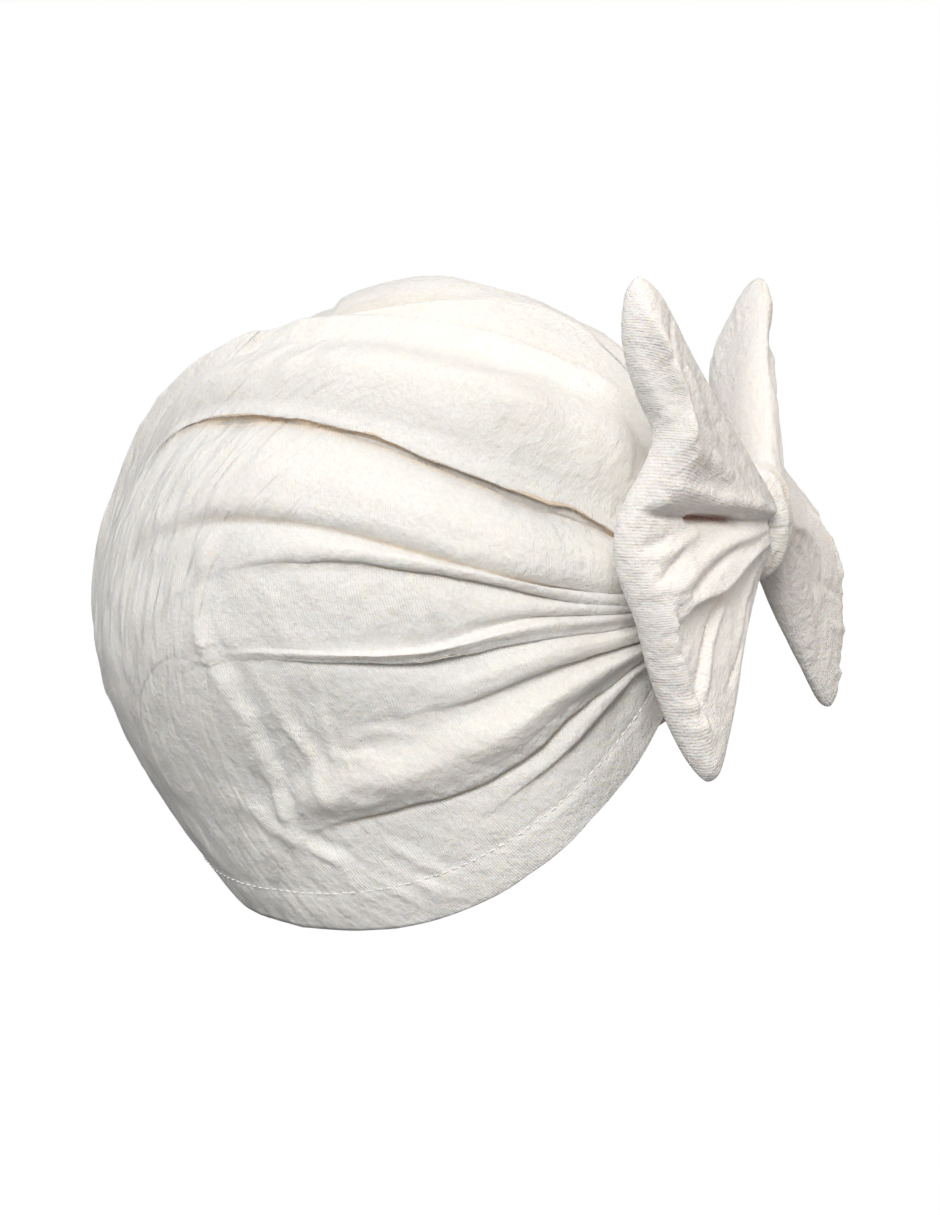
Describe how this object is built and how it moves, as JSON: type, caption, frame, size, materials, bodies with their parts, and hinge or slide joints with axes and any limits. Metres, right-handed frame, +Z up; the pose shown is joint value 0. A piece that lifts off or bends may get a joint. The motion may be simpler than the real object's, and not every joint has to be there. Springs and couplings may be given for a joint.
{
  "type": "turban hat",
  "caption": "Baby's soft turban hat: a pleated cloth crown gathered behind a flared, padded front bow, with a turned hem round the head opening.",
  "frame": {"origin": "centre of the head opening, in the middle of the rim's tilted plane", "axes": "+Z up, -Y toward the front where the bow is, -X the wearer's right"},
  "size_m": [0.1472, 0.1953, 0.1696],
  "materials": {
    "crown_cloth": "matt crinkled jersey",
    "hem_cloth": "matt crinkled jersey",
    "bow_cloth": "matt crinkled jersey",
    "knot_cloth": "matt crinkled jersey"
  },
  "bodies": {
    "root": {"crown": "crown_cloth", "rim_hem": "hem_cloth", "bow_wing_right": "bow_cloth", "bow_wing_left": "bow_cloth", "bow_knot": "knot_cloth"}
  },
  "joints": []
}
